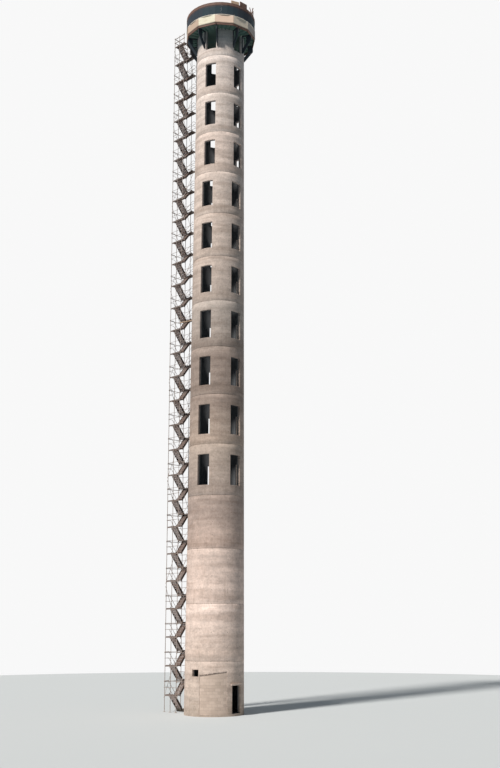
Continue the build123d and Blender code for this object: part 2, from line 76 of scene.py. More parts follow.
class Slot(Enum):
    """The record's material slots."""

    CONCRETE = "shaft_concrete"
    INFILL = "infill_blockwork"
    DECK = "deck_formwork"
    EDGE = "edge_boards"
    DRUM = "drum_forms"
    RIM = "rim_timber"
    TAN = "tan_board"
    BRACKET = "bracket_steel"
    PLANK = "stair_planks"
    STEP = "stair_timber"
    TUBE = "scaffold_steel"


def operator(operation: str, reflected: bool = False) -> Callable[["Signal", Any], "Signal"]:
    """Return a method that works out two numbers in one Math node.

    Args:
        operation: the node's operation.
        reflected: whether the other number comes first.

    Returns:
        The method.
    """
    def method(self: "Signal", other: Any) -> "Signal":
        """Add the Math node."""
        return self._math(operation, *((other, self) if reflected else (self, other)))

    return method


class Signal:
    """A number-carrying shader socket that can be used in expressions."""

    __add__, __radd__ = operator("ADD"), operator("ADD", True)
    __sub__, __rsub__ = operator("SUBTRACT"), operator("SUBTRACT", True)
    __mul__, __rmul__ = operator("MULTIPLY"), operator("MULTIPLY", True)
    __truediv__ = operator("DIVIDE")
    __pow__ = operator("POWER")
    maximum = operator("MAXIMUM")
    arctan = operator("ARCTAN2")

    def __init__(self, nodes: "Nodes", socket: Any) -> None:
        """Keep the socket and the tree that it belongs to."""
        self.nodes = nodes
        self.socket = socket

    def _math(self, operation: str, *values: Any) -> "Signal":
        """Add one Math node fed by the given values."""
        return self.nodes.node("ShaderNodeMath", {"operation": operation}, dict(enumerate(values)))[0]

    def fraction(self) -> "Signal":
        """The part after the decimal point."""
        return self._math("FRACT", self)

    def floor(self) -> "Signal":
        """The whole part."""
        return self._math("FLOOR", self)

    def over(self, low: float, high: float) -> "Signal":
        """Rise smoothly from 0 at low to 1 at high."""
        inputs = {"Value": self, "From Min": low, "From Max": high, "To Min": 0.0, "To Max": 1.0}
        return self.nodes.node("ShaderNodeMapRange", {"interpolation_type": "SMOOTHSTEP"}, inputs)[0]

    def off(self, middle: float, low: float, high: float) -> "Signal":
        """Rise smoothly from 0 at low to 1 at high, by the distance from a middle."""
        return self._math("ABSOLUTE", self - middle).over(low, high)


class Nodes:
    """A node tree that is built by expressions."""

    def __init__(self, tree: Any) -> None:
        """Empty the tree."""
        self.tree = tree
        tree.nodes.clear()

    def feed(self, socket: Any, value: Any) -> None:
        """Link a signal to a socket, or set the socket's own value.

        Args:
            socket: the input socket.
            value: a Signal, a number or a colour.
        """
        if isinstance(value, Signal):
            self.tree.links.new(value.socket, socket)
        elif isinstance(value, tuple):
            socket.default_value = (*value, 1.0)
        else:
            socket.default_value = value

    def node(self, kind: str, settings: dict[str, Any], inputs: dict[Any, Any]) -> list[Signal]:
        """Add one node.

        Args:
            kind: the node's type.
            settings: attributes, set first; "stops" holds a ramp's stops and how it runs between them.
            inputs: values or links by socket name or number.

        Returns:
            The node's enabled outputs as signals.
        """
        made = self.tree.nodes.new(kind)
        for key, value in settings.items():
            if key == "stops":
                self._stops(made.color_ramp, *value)
            else:
                setattr(made, key, value)
        for key, value in inputs.items():
            self.feed(made.inputs[key], value)
        return [Signal(self, out) for out in made.outputs if out.enabled]

    @staticmethod
    def _stops(ramp: Any, stops: Stops, runs: str) -> None:
        """Fill a colour ramp.

        Args:
            ramp: the ramp.
            stops: places from 0 to 1, each with its colour.
            runs: how the ramp goes from stop to stop.
        """
        ramp.interpolation = runs
        while len(ramp.elements) > 1:
            ramp.elements.remove(ramp.elements[-1])
        ramp.elements[0].position = stops[0][0]
        ramp.elements[0].color = (*stops[0][1], 1.0)
        for place, colour in stops[1:]:
            ramp.elements.new(place).color = (*colour, 1.0)

    def named(self, kind: str) -> dict[str, Signal]:
        """Add an input node and return its outputs by name."""
        return {signal.socket.name: signal for signal in self.node(kind, {}, {})}


class Shader(Nodes):
    """One material's node tree."""

    def __init__(self, name: str) -> None:
        """Start an empty material."""
        self.material = bpy.data.materials.new(name)
        self.material.use_nodes = True
        super().__init__(self.material.node_tree)

    def place(self) -> tuple[Signal, Signal, Signal, Signal]:
        """Return Object coordinates as a vector, x, y and z."""
        point = self.named("ShaderNodeTexCoord")["Object"]
        return (point, *self.node("ShaderNodeSeparateXYZ", {}, {0: point}))

    def turn(self, x: Signal, y: Signal) -> Signal:
        """Return the azimuth in turns from the front, plus a half, from x and y.

        The arc tangent of x over minus y gives the angle from -Y towards +X.
        """
        return x.arctan(0.0 - y) / (2 * math.pi) + 0.5

    def combine(self, x: Any, y: Any, z: Any) -> Signal:
        """Make a vector of three numbers."""
        return self.node("ShaderNodeCombineXYZ", {}, {0: x, 1: y, 2: z})[0]

    def noise(self, vector: Signal, scale: float, detail: float, rough: float) -> Signal:
        """Return fractal noise from 0 to 1."""
        inputs = {"Vector": vector, "Scale": scale, "Detail": detail, "Roughness": rough}
        return self.node("ShaderNodeTexNoise", {}, inputs)[0]

    def cells(self, vector: Signal, scale: float) -> Signal:
        """Return the distance to the nearest scattered point."""
        return self.node("ShaderNodeTexVoronoi", {}, {"Vector": vector, "Scale": scale})[0]

    def random(self, x: Any, y: Any, z: Any) -> Signal:
        """Return white noise, the same all over one whole-number place."""
        return self.node("ShaderNodeTexWhiteNoise", {}, {"Vector": self.combine(x, y, z)})[0]

    def coats(self, colour: Any, *coats: tuple[Any, Colour], blend: str = "MIX") -> Any:
        """Lay coats over a colour, one after another.

        Args:
            colour: the colour under the coats.
            coats: pairs of a share from 0 to 1 and the coat's colour.
            blend: the way that they mix.

        Returns:
            The colour with all its coats.
        """
        settings = {"data_type": "RGBA", "blend_type": blend, "clamp_factor": True}
        for share, coat in coats:
            colour = self.node("ShaderNodeMix", settings, {0: share, 6: colour, 7: coat})[0]
        return colour

    def ramp(self, value: Signal, stops: Stops, runs: str = "LINEAR") -> Signal:
        """Turn a number into a colour along stops."""
        return self.node("ShaderNodeValToRGB", {"stops": (stops, runs)}, {0: value})[0]

    def finish(self, colour: Any, rough: Any, height: Any = None, bump: Pair = (0.0, 0.0),
               shine: float = 0.5) -> Any:
        """Add the main shader and return the material.

        Args:
            colour: the base colour.
            rough: the roughness.
            height: what raises the surface.
            bump: the bump's strength, and the height of 1 in metres.
            shine: the strength of its plain reflection.

        Returns:
            The material.
        """
        inputs = {"Base Color": colour, "Roughness": rough, "Specular IOR Level": shine}
        if height is not None:
            raised = {"Strength": bump[0], "Distance": bump[1], "Height": height}
            inputs["Normal"] = self.node("ShaderNodeBump", {}, raised)[0]
        surface = self.node("ShaderNodeBsdfPrincipled", {}, inputs)[0]
        self.node("ShaderNodeOutputMaterial", {}, {"Surface": surface})
        return self.material


def access_head(x: Signal) -> Signal:
    """Return the height of the closed opening's head, which rises by 0.134 a metre of x."""
    return x * 0.1343 + 1.4250


@dataclass(frozen=True)
class ConcreteFinish:
    """Cast concrete in lifts, with joints, form panels, tie holes and rain stains, and with painted shade
    under the deck and inside the shaft.

    The ground colour goes by height: pinkish foot, grey-brown middle, pale top.
    The tones from pale to brown are factors that multiply it.
    """

    name: str = "cast_concrete"
    pale: Colour = (1.42, 1.42, 1.42)
    warm: Colour = (0.96, 0.84, 0.78)
    grey: Colour = (0.62, 0.66, 0.68)
    brown: Colour = (0.54, 0.48, 0.43)
    # The painted shade inside the shaft, on the inner wall and the inner part of the reveals.
    inner: Colour = (0.080, 0.092, 0.105)
    # Painted shade under the deck: the grey-green tone that the top of the wall is mixed towards.
    deck_shade: Colour = (0.30, 0.36, 0.36)
    hole: Colour = (0.10, 0.08, 0.07)
    gap: Colour = (0.050, 0.036, 0.028)
    # The heights over which the painted shade under the deck fades in.
    deck_shade_from: float = 28.30
    deck_shade_to: float = 28.85
    height: float = 30.0
    panel: float = 0.625
    tie_pitch: float = 0.5
    tie_start: float = 0.1
    ground: Stops = (
        (0.00, (0.47, 0.385, 0.325)),
        (0.05, (0.59, 0.475, 0.41)),
        (0.12, (0.75, 0.60, 0.53)),
        (0.17, (0.67, 0.53, 0.465)),
        (0.25, (0.365, 0.295, 0.262)),
        (0.33, (0.47, 0.38, 0.32)),
        (0.39, (0.315, 0.252, 0.218)),
        (0.45, (0.315, 0.252, 0.218)),
        (0.52, (0.480, 0.410, 0.365)),
        (0.64, (0.62, 0.52, 0.46)),
        (0.78, (0.70, 0.59, 0.53)),
        (0.86, (0.74, 0.63, 0.57)),
        (0.93, (0.80, 0.70, 0.65)),
        (1.00, (0.82, 0.72, 0.67)),
    )

    def build(self) -> Any:
        """Mix the concrete's tones, lines, holes and painted shade.

        Height over the lift's joint, as a fraction of the lift, places the
        joint line, the lift's pale top, the darker band under the sills and
        the stains, which fade upwards.

        Returns:
            The material.
        """
        shader = Shader(self.name)
        point, x, y, z = shader.place()
        arc = shader.turn(x, y) * (2 * math.pi * SHAFT_RADIUS)
        rise = (z - FIRST_JOINT) / LIFT
        lift, within = rise.floor(), rise.fraction()
        panel = arc / self.panel
        flat = shader.combine(arc, z, 0.0)
        cloud = shader.noise(flat, 0.9, 5.0, 0.6)
        patch = shader.noise(flat, 4.2, 7.0, 0.70)
        fine = shader.noise(point, 38.0, 5.0, 0.7)
        lift_tone = shader.random(lift, 3.0, 0.0)
        panel_tone = shader.random(panel.floor(), lift, 7.0)
        streaks = shader.noise(shader.combine(arc * 9.0, z * 0.42, 0.0), 1.0, 5.0, 0.62)
        layers = shader.noise(shader.combine(arc * 1.5, z * 11.0, 2.0), 1.0, 4.0, 0.6)
        rings = shader.noise(shader.combine(arc * 0.35, z * 3.4, 9.0), 1.0, 2.0, 0.5)
        speckle = shader.noise(point, 15.0, 4.0, 0.65)
        under_sill = within.over(0.02, 0.10) * (1.0 - within.over(0.16, 0.30))
        run_down = streaks.over(0.50, 0.72) * (1.0 - within.over(0.25, 0.95))
        joint = within.off(0.5, 0.490, 0.4985)
        panel_joint = panel.fraction().off(0.5, 0.490, 0.497)
        hole = self._tie_holes(panel, z)
        gap = self._access_gap(x, y, z) * shader.noise(point, 14.0, 3.0, 0.6).over(0.34, 0.52)
        # Painted shade inside the shaft: darker by the distance from the axis, from the inner wall out to the
        # outer part of the reveals.
        radial = (x * x + y * y) ** 0.5
        inside = 1.0 - radial.over(SHAFT_RADIUS - WALL + 0.012, SHAFT_RADIUS - 0.045)
        colour = shader.ramp(z / self.height + (cloud - 0.5) * 0.04, self.ground)
        colour = shader.coats(
            colour,
            ((patch - 0.47) * 2.0, self.pale),
            ((0.49 - patch) * 2.2, self.grey),
            (rings.over(0.50, 0.66) * 0.40, self.pale),
            ((1.0 - rings.over(0.34, 0.50)) * 0.34, self.brown),
            (speckle.over(0.50, 0.68) * 0.30, self.brown),
            ((1.0 - speckle.over(0.34, 0.50)) * 0.22, self.pale),
            (lift_tone * 0.40, self.warm),
            (panel_tone * 0.20, self.grey),
            (layers.over(0.48, 0.72) * 0.30, self.brown),
            (under_sill * (0.08 + streaks * 0.30), self.brown),
            (within.over(0.78, 0.96) * 0.14, self.pale),
            (run_down * 0.26, self.brown),
            blend="MULTIPLY")
        # Painted shade under the deck: from the first of its heights upwards, the wall goes towards the shade
        # tone.
        colour = shader.coats(colour, (z.over(self.deck_shade_from, self.deck_shade_to) * 0.55, self.deck_shade))
        colour = shader.coats(colour, (joint * 0.30, self.brown), (panel_joint * 0.20, self.grey),
                              blend="MULTIPLY")
        # Last come the tie holes, the dark gap and the painted shade inside the shaft.
        colour = shader.coats(colour, (hole * 0.75, self.hole), (gap, self.gap), (inside * 0.93, self.inner))
        pores = shader.cells(point, 55.0).over(0.06, 0.16)
        height = fine * 0.25 + patch * 0.5 - joint * 1.0 - panel_joint * 0.5 - hole * 1.6 + pores * 0.15
        return shader.finish(colour, 0.86 - patch * 0.14 + fine * 0.06, height, (0.55, 0.006))

    @staticmethod
    def _access_gap(x: Signal, y: Signal, z: Signal) -> Signal:
        """Show the ragged dark gap over the closed opening, which fades to the right.

        Args:
            x: the place to the right.
            y: the place to the back.
            z: the height.

        Returns:
            The gap's share, from 0 to 1.
        """
        near = 1.0 - (z - access_head(x)).off(0.016, 0.008, 0.022)
        front = 1.0 - y.over(-0.80, -0.70)
        reach = x.over(-0.545, -0.50) * (1.0 - x.over(0.05, 0.50) * 0.8) * (1.0 - x.over(0.50, 0.53))
        return near * front * reach * 0.8

    def _tie_holes(self, panel: Signal, z: Signal) -> Signal:
        """Show small round tie holes, one column a panel and one row each pitch.

        Args:
            panel: the place round the shaft, in panels.
            z: the height.

        Returns:
            The holes' share, from 0 to 1.
        """
        across = (panel.fraction() - 0.5) * self.panel
        up = (((z - self.tie_start) / self.tie_pitch).fraction() - 0.5) * self.tie_pitch
        distance = (across * across + up * up) ** 0.5
        return 1.0 - distance.over(0.010, 0.016)


@dataclass(frozen=True)
class BlockFinish:
    """Rough blockwork that closes the access opening."""

    name: str = "infill_blocks"
    radius: float = 1.112
    long: float = 0.21
    high: float = 0.105
    stain: Colour = (0.38, 0.30, 0.24)
    mortar: Colour = (0.42, 0.35, 0.30)
    shade: Colour = (0.075, 0.055, 0.044)
    blocks: Stops = ((0.0, (0.46, 0.36, 0.30)), (0.5, (0.53, 0.42, 0.35)), (1.0, (0.58, 0.46, 0.39)))

    def build(self) -> Any:
        """Lay courses of blocks with mortar between them.

        Returns:
            The material.
        """
        shader = Shader(self.name)
        point, x, y, z = shader.place()
        arc = shader.turn(x, y) * (2 * math.pi * self.radius)
        up = z / self.high
        course = up.floor()
        along = (arc + (course * 0.5).fraction() * self.long) / self.long
        block = shader.random(along.floor(), course, 2.0)
        mortar = up.fraction().off(0.5, 0.44, 0.485).maximum(along.fraction().off(0.5, 0.465, 0.49))
        rough = shader.noise(point, 30.0, 6.0, 0.7)
        stain = shader.noise(point, 3.0, 4.0, 0.6)
        head = (z - access_head(x)).over(-0.036, -0.012)
        colour = shader.coats(shader.ramp(block, self.blocks), (stain.over(0.45, 0.75) * 0.40, self.stain),
                              (mortar * 0.30, self.mortar), (head * 0.75, self.shade))
        return shader.finish(colour, 0.88 + rough * 0.08, rough * 0.5 - mortar * 1.2, (0.7, 0.006))


@dataclass(frozen=True)
class BoardFinish:
    """Sawn or planed timber with its grain along the ring, or straight along x."""

    name: str
    light: Colour
    dark: Colour
    weather: float = 0.3
    radius: float = 1.65
    board: float = 0.11
    straight: bool = False

    def grained(self, shader: Shader, base: Any) -> tuple[Any, Signal, Signal]:
        """Return the grained colour, the grain and the gaps between boards.

        Args:
            shader: the material in work.
            base: the wood's lighter colour.

        Returns:
            The colour, and two signals for roughness and bump.
        """
        point, x, y, z = shader.place()
        if self.straight:
            run = shader.combine(x * 3.0, y * 55.0, z * 55.0)
        else:
            arc = shader.turn(x, y) * (2 * math.pi * self.radius)
            run = shader.combine(arc * 3.0, z * 55.0, 0.0)
        grain = shader.noise(run, 1.0, 5.0, 0.6)
        blotch = shader.noise(point, 2.6, 4.0, 0.6)
        gap = (z / self.board).fraction().off(0.5, 0.478, 0.494)
        colour = shader.coats(base, (grain.over(0.40, 0.75) * 0.55, self.dark),
                              (blotch.over(0.45, 0.80) * self.weather, self.dark), (gap * 0.4, self.dark))
        return colour, grain, gap

    def build(self) -> Any:
        """Draw the grain out along the boards.

        Returns:
            The material.
        """
        shader = Shader(self.name)
        colour, grain, gap = self.grained(shader, self.light)
        return shader.finish(colour, 0.62 + grain * 0.2, grain * 0.4 - gap * 1.0, (0.5, 0.003))


@dataclass(frozen=True)
class EdgeFinish(BoardFinish):
    """The deck's edge forms: raw boards of a different tone on each facet."""

    facets: tuple[Colour, ...] = (
        (0.94, 0.70, 0.55), (0.92, 0.80, 0.66), (0.62, 0.55, 0.50), (0.42, 0.38, 0.36),
        (0.70, 0.52, 0.34), (0.86, 0.70, 0.48), (0.60, 0.42, 0.28), (0.88, 0.66, 0.44),
        (0.80, 0.58, 0.36), (0.50, 0.36, 0.26), (0.57, 0.43, 0.34), (0.88, 0.84, 0.66),
    )
    # The darker tone of the band's lowest strip.
    dark_low_strip: Colour = (0.085, 0.055, 0.042)
    band_top: float = 29.690

    def build(self) -> Any:
        """Give each facet its boards.

        The azimuth from the first vertex, in turns, picks the facet's tone from
        a stepped ramp. The lowest strip is darker, the top one lighter.

        Returns:
            The material.
        """
        shader = Shader(self.name)
        point, x, y, z = shader.place()
        turn = (shader.turn(x, y) - (FIRST_VERTEX / 360.0 + 0.5)).fraction()
        stops = [(number / len(self.facets), tone) for number, tone in enumerate(self.facets)]
        colour, grain, gap = self.grained(shader, shader.ramp(turn, stops, "CONSTANT"))
        cloud = shader.noise(point, 5.0, 4.0, 0.6)
        # The lowest strip is darker and the top 20 mm are lighter.
        dark_low_strip = 1.0 - (z + cloud * 0.03).over(SOFFIT + 0.030, SOFFIT + 0.085)
        light_top_strip = z.over(self.band_top, self.band_top + 0.02)
        colour = shader.coats(colour, (dark_low_strip * 0.85, self.dark_low_strip), (light_top_strip * 0.7, self.light))
        return shader.finish(colour, 0.66 + grain * 0.2, grain * 0.4 - gap * 1.0, (0.5, 0.003))


@dataclass(frozen=True)
class FilmFinish:
    """Dark film-faced board, scuffed and dusty, with a tone of its own for each panel."""

    name: str
    first: Colour = (0.014, 0.046, 0.058)
    second: Colour = (0.036, 0.038, 0.052)
    dust: Colour = (0.11, 0.11, 0.12)
    rust: Colour = (0.16, 0.075, 0.055)
    panels: float = 12.0
    dusty: float = 0.22
    rusty_from: float = 30.16

    def build(self) -> Any:
        """Give each panel a tone, with scuffs, grout dust and rust stains at the top.

        Returns:
            The material.
        """
        shader = Shader(self.name)
        point, x, y, z = shader.place()
        tone = shader.random((shader.turn(x, y) * self.panels).floor(), 1.0, 4.0)
        cloud = shader.noise(point, 1.8, 5.0, 0.65)
        scuff = shader.noise(shader.combine(x * 4.0, y * 4.0, z * 26.0), 1.0, 5.0, 0.7)
        brown = (z + cloud * 0.16).over(self.rusty_from + 0.06, self.rusty_from + 0.26)
        colour = shader.coats(self.first, (tone * 0.5 + cloud * 0.6, self.second),
                              (scuff.over(0.55, 0.80) * self.dusty, self.dust),
                              (cloud.over(0.50, 0.85) * self.dusty, self.dust), (brown * 0.65, self.rust))
        return shader.finish(colour, 0.62 + scuff * 0.25, scuff * 0.5 + cloud * 0.4, (0.35, 0.003), shine=0.2)


@dataclass(frozen=True)
class RustFinish:
    """Worn steel or paint over brown rust, with grime in the low tones."""

    name: str
    steel: Colour
    rust: Colour
    grime: Colour
    scale: float
    share: float

    def darken(self, shader: Shader, colour: Any) -> Any:
        """Return the colour as it is."""
        return colour

    def build(self) -> Any:
        """Lay patches of rust and grime, with pits.

        Returns:
            The material.
        """
        shader = Shader(self.name)
        point, _, _, _ = shader.place()
        large = shader.noise(point, self.scale * 0.25, 5.0, 0.65)
        small = shader.noise(point, self.scale * 3.0, 6.0, 0.7)
        rusty = (large * 0.6 + small * 0.4).over(0.62 - self.share * 0.35, 0.68 - self.share * 0.2)
        colour = shader.coats(self.steel, (rusty, self.rust), (small.over(0.5, 0.8) * 0.6, self.grime))
        colour = self.darken(shader, colour)
        pits = shader.noise(point, self.scale * 12.0, 4.0, 0.7)
        height = pits * 0.5 + rusty * 0.4
        return shader.finish(colour, 0.60 + rusty * 0.30, height, (0.4, 0.0015), shine=0.25)


@dataclass(frozen=True)
class StairFinish(RustFinish):
    """Scaffold steel whose flights or landings are darker than the rest, in painted shade.

    The last three fields say how far the colour goes to the painted shade: in
    all flights, at the landings and in the flights of the front lane alone.
    """

    # The dark tone of the painted shade.
    deep: Colour = (0.060, 0.034, 0.026)
    flight_shade: float = 0.0
    landing_shade: float = 0.0
    front_lane_shade: float = 0.0

    def darken(self, shader: Shader, colour: Any) -> Any:
        """Darken the chosen parts by their place along and across the flights, mostly as painted shade.

        For that place the stair's foot is taken off, its lean is undone by
        height, and x and y are turned back by 45 degrees.

        Args:
            shader: the material in work.
            colour: the colour so far.

        Returns:
            The darkened colour.
        """
        _, x, y, z = shader.place()
        out = x - STAIR_FOOT[0] + z * math.tan(math.radians(STAIR_LEAN))
        back = y - STAIR_FOOT[1]
        half = math.sqrt(0.5)
        along, across = (out + back) * half, (back - out) * half
        lane = 1.0 - across.off(-STAIR_WIDTH / 2, 0.340, 0.350)
        middle = (1.0 - along.off(STAIR_LENGTH / 2, 0.225, 0.245)) * lane
        end = (1.0 - middle) * lane * z.over(0.06, 0.08)
        front = middle * (1.0 - across.over(-0.350, -0.325))
        # What stands over 30.25 m right of the axis is darkened too.
        head = z.over(30.25, 30.35) * x.over(0.5, 0.8)
        # How far the colour goes to the dark tone: painted shade on the flights, landings and front lane, and
        # the part over 30.25 m.
        share = middle * self.flight_shade + end * self.landing_shade + head * 0.9 + front * self.front_lane_shade
        return shader.coats(colour, (share, self.deep))


@dataclass(frozen=True)
class GroundFinish:
    """The plain pale studio floor."""

    name: str = "studio_floor"
    colour: Colour = (0.52, 0.54, 0.55)

    def build(self) -> Any:
        """Return the material."""
        return Shader(self.name).finish(self.colour, 0.9)


@dataclass
class Mesher:
    """Turns numpy arrays into finished pieces on the frame."""

    slots: dict[Slot, Any]
    crease: float = 35.0

    def piece(self, name: str, shape: Mesh, slot: Slot, quality: Quality = Quality.FLAT,
              nodes: Sequence[str] = ()) -> None:
        """Make one mesh object that rides on the tower.

        Args:
            name: the piece's name.
            shape: rows of x, y and z in metres, and rows of four corner numbers.
            slot: the record's slot, which also picks the material.
            quality: how the faces are shaded.
            nodes: the CAD nodes that it stands for.
        """
        points, faces = shape
        mesh = bpy.data.meshes.new(name)
        mesh.vertices.add(len(points))
        mesh.vertices.foreach_set("co", np.ascontiguousarray(points, np.float32).ravel())
        corners = np.ascontiguousarray(faces, np.int32)
        mesh.loops.add(corners.size)
        mesh.loops.foreach_set("vertex_index", corners.ravel())
        mesh.polygons.add(len(corners))
        starts = np.arange(len(corners), dtype=np.int32) * corners.shape[1]
        mesh.polygons.foreach_set("loop_start", starts)
        mesh.update(calc_edges=True)
        mesh.validate()
        creased = quality is Quality.CREASED
        mesh.polygons.foreach_set("use_smooth", np.full(len(mesh.polygons), creased))
        if creased:
            mesh.set_sharp_from_angle(angle=math.radians(self.crease))
        thing = bpy.data.objects.new(name, mesh)
        bpy.context.scene.collection.objects.link(thing)
        thing.data.materials.append(self.slots[slot])
        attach(thing, "root")
        if nodes:
            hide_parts(*nodes)
        LOG.info("%s: %d faces", name, len(corners))


def unit(rows: np.ndarray) -> np.ndarray:
    """Return each row brought to a length of 1."""
    return rows / np.linalg.norm(rows, axis=1, keepdims=True)


def repeated(faces: np.ndarray, count: int, corners: int) -> np.ndarray:
    """Return one bar's faces for a count of bars, each with so many corners."""
    return (faces[None] + np.arange(count)[:, None, None] * corners).reshape(-1, 4)


def tubes(starts: np.ndarray, ends: np.ndarray, radius: float, sides: int = 8) -> Mesh:
    """Return closed round bars between pairs of points.

    Each bar is a circle carried from its start to its end. The circle's two
    axes are square to the run: the first is the run crossed with the world
    axis least in line with it, the second is the run crossed with the first.
    A point at each end's middle closes it.

    Args:
        starts: first points, one row a bar.
        ends: last points, one row a bar.
        radius: the bars' radius in metres.
        sides: corners of the circle, an even number.

    Returns:
        Vertices and four-cornered faces.
    """
    run = unit(ends - starts)
    first = unit(np.cross(run, np.eye(3)[np.argmin(np.abs(run), axis=1)]))
    second = np.cross(run, first)
    angle = (np.arange(sides) * 2 * np.pi / sides)[None, :, None]
    ring = radius * (np.cos(angle) * first[:, None, :] + np.sin(angle) * second[:, None, :])
    centres = np.stack([starts, ends], axis=1)
    points = np.concatenate([starts[:, None, :] + ring, ends[:, None, :] + ring, centres], axis=1)
    step = np.arange(sides)
    after = (step + 1) % sides
    wall = np.stack([step, after, after + sides, step + sides], axis=1)
    one = step[::2]
    two, three = one + 1, (one + 2) % sides
    middle = np.full_like(one, 2 * sides)
    floor = np.stack([middle, three, two, one], axis=1)
    roof = np.stack([middle + 1, one + sides, two + sides, three + sides], axis=1)
    return points.reshape(-1, 3), repeated(np.concatenate([wall, floor, roof]), len(starts), 2 * sides + 2)


def boards(starts: np.ndarray, ends: np.ndarray, facing: Any, size: Pair) -> Mesh:
    """Return closed flat boards between pairs of points.

    Each board is a rectangle carried from its start to its end. It is deep
    along the facing vector and wide along the facing vector crossed with the run.

    Args:
        starts: first points, one row a board.
        ends: last points, one row a board.
        facing: the way that the broad faces look, for all boards or one row a board.
        size: the width and the thickness in metres.

    Returns:
        Vertices and four-cornered faces.
    """
    run = unit(ends - starts)
    across = unit(np.cross(facing, run))
    face = np.cross(run, across)
    signs = np.array([(-1, -1), (1, -1), (1, 1), (-1, 1)])[None] / 2
    ring = signs[..., :1] * size[0] * across[:, None, :] + signs[..., 1:] * size[1] * face[:, None, :]
    points = np.concatenate([starts[:, None, :] + ring, ends[:, None, :] + ring], axis=1).reshape(-1, 3)
    box = np.array([(0, 1, 5, 4), (1, 2, 6, 5), (2, 3, 7, 6), (3, 0, 4, 7), (3, 2, 1, 0), (4, 5, 6, 7)])
    return points, repeated(box, len(starts), 8)


def wrapped(degrees: np.ndarray) -> np.ndarray:
    """Return angles brought between -180 and 180 degrees."""
    return np.mod(degrees + 180.0, 360.0) - 180.0


def flanked(marks: Sequence[float], margin: float) -> list[float]:
    """Return the marks, each with one beside it on either side by a margin."""
    return [mark + side for mark in marks for side in (-margin, 0.0, margin)]


def evenly(marks: Sequence[float], gap: float) -> np.ndarray:
    """Return the marks but the last, with even cuts between them no wider than a gap."""
    return np.concatenate([np.linspace(low, high, math.ceil((high - low) / gap), endpoint=False)
                           for low, high in zip(marks[:-1], marks[1:])])


